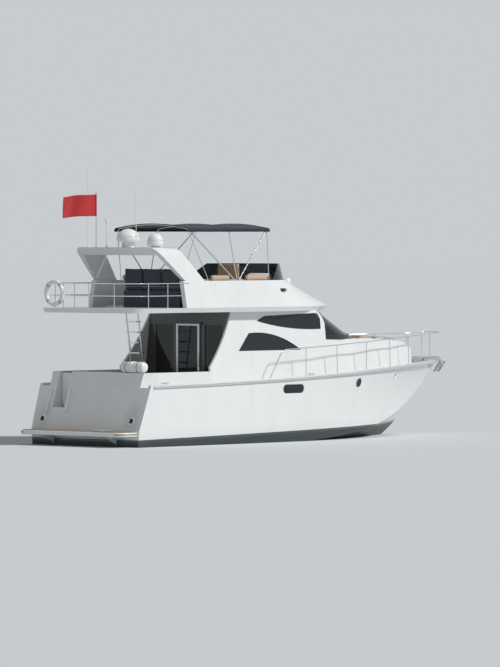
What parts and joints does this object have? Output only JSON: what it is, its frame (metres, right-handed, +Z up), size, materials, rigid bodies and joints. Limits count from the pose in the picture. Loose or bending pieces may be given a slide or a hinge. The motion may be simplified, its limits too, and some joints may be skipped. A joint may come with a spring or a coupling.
{
  "type": "flybridge motor yacht",
  "caption": "Flybridge motor yacht afloat, with raked windows, radar arch, bimini, bathing platform, twin screws and rudders, doors and hatches that open.",
  "frame": {"origin": "foot of the transom on the centreline, at the waterline", "axes": "+X to the bow, +Y to port, +Z up"},
  "size_m": [14.29, 4.122, 7.9721],
  "materials": {
    "gelcoat": "gloss",
    "rub_rail": "satin",
    "stainless": "polished",
    "tinted_glass": "gloss",
    "teak": "satin",
    "beige_cushion": "satin",
    "navy_cushion": "matt",
    "canvas": "matt",
    "flag_cloth": "matt",
    "bronze": "satin",
    "galvanised": "satin",
    "engine_paint": "satin",
    "white_plastic": "gloss",
    "dark_plastic": "matt",
    "wood_trim": "satin",
    "anodised": "satin"
  },
  "bodies": {
    "boat": {"hull": "gelcoat", "rub_rail": "rub_rail", "house_side_port": "gelcoat", "house_side_starboard": "gelcoat", "coachroof": "gelcoat", "windscreen_frame": "dark_plastic", "windscreen": "tinted_glass", "side_glass": "tinted_glass", "flybridge": "gelcoat", "wind_deflector": "tinted_glass", "radar_arch": "gelcoat", "radomes": "white_plastic", "aerials": "white_plastic", "flag_staff": "stainless", "flag": "flag_cloth", "bimini_frame": "stainless", "bimini_canopy": "canvas", "fly_console": "gelcoat", "fly_seats": "gelcoat", "fly_cushions": "beige_cushion", "aft_couch": "gelcoat", "couch_cushions": "navy_cushion", "fly_rail": "stainless", "fly_ladder": "stainless", "engines": "engine_paint", "swim_platform": "gelcoat", "teak_decks": "teak", "cockpit_coaming": "gelcoat", "cockpit_seat": "gelcoat", "cockpit_cushions": "beige_cushion", "aft_bulkhead": "gelcoat", "bulkhead_glass": "tinted_glass", "shaft_brackets": "bronze", "trim_tabs": "stainless", "hull_lights": "tinted_glass", "sunpad": "beige_cushion", "hinges": "stainless", "hatch_rim": "anodised", "windlass": "stainless", "bow_roller": "stainless", "anchor": "galvanised", "bow_rail": "stainless", "cleats": "stainless", "saloon_sofa": "beige_cushion", "inside_helm": "wood_trim", "lifebuoy": "white_plastic"},
    "port_screw": {"propeller_port": "bronze", "shaft_port": "stainless"},
    "starboard_screw": {"propeller_starboard": "bronze", "shaft_starboard": "stainless"},
    "port_rudder": {"rudder_port": "bronze"},
    "starboard_rudder": {"rudder_starboard": "bronze"},
    "wheel": {"helm_wheel": "dark_plastic"},
    "door": {"saloon_door": "anodised", "saloon_door_glass": "tinted_glass"},
    "gate": {"transom_gate": "gelcoat"},
    "engine_lid": {"engine_hatch": "gelcoat"},
    "fly_lid": {"fly_hatch": "gelcoat"},
    "fore_lid": {"foredeck_hatch": "tinted_glass"}
  },
  "joints": [
    {"name": "propeller_port_turn", "type": "hinge", "parent": "boat", "child": "port_screw", "pos_m": [0.64, 0.76, -0.7], "axis": [0.9848, 0, 0.1736], "continuous": true},
    {"name": "propeller_starboard_turn", "type": "hinge", "parent": "boat", "child": "starboard_screw", "pos_m": [0.64, -0.76, -0.7], "axis": [0.9848, 0, 0.1736], "continuous": true},
    {"name": "rudder_port_turn", "type": "hinge", "parent": "boat", "child": "port_rudder", "pos_m": [0.23, 0.76, -0.6], "axis": [0, 0, 1], "range_deg": [-35, 35]},
    {"name": "rudder_starboard_turn", "type": "hinge", "parent": "boat", "child": "starboard_rudder", "pos_m": [0.23, -0.76, -0.6], "axis": [0, 0, 1], "range_deg": [-35, 35]},
    {"name": "helm_wheel_turn", "type": "hinge", "parent": "boat", "child": "wheel", "pos_m": [5.29, -0.75, 4.06], "axis": [-0.8829, 0, 0.4695], "range_deg": [-630, 630]},
    {"name": "saloon_door_slide", "type": "slide", "parent": "boat", "child": "door", "axis": [0, 1, 0], "range_m": [0, 0.8]},
    {"name": "transom_gate_swing", "type": "hinge", "parent": "boat", "child": "gate", "pos_m": [0.54, 1.31, 1.4], "axis": [0, 0, 1], "range_deg": [-90, 0]},
    {"name": "engine_hatch_lift", "type": "hinge", "parent": "boat", "child": "engine_lid", "pos_m": [2.763, 0, 0.965], "axis": [0, 1, 0], "range_deg": [0, 85]},
    {"name": "fly_hatch_lift", "type": "hinge", "parent": "boat", "child": "fly_lid", "pos_m": [3, 1.02, 3.5153], "axis": [0, 1, 0], "range_deg": [0, 85]},
    {"name": "foredeck_hatch_lift", "type": "hinge", "parent": "boat", "child": "fore_lid", "pos_m": [10.74454, 0, 2.58919], "axis": [0, 1, 0], "range_deg": [0, 75]}
  ],
  "couplings": [
    {"joint": "rudder_starboard_turn", "follows": "rudder_port_turn", "ratio": 1},
    {"joint": "helm_wheel_turn", "follows": "rudder_port_turn", "ratio": -18}
  ]
}
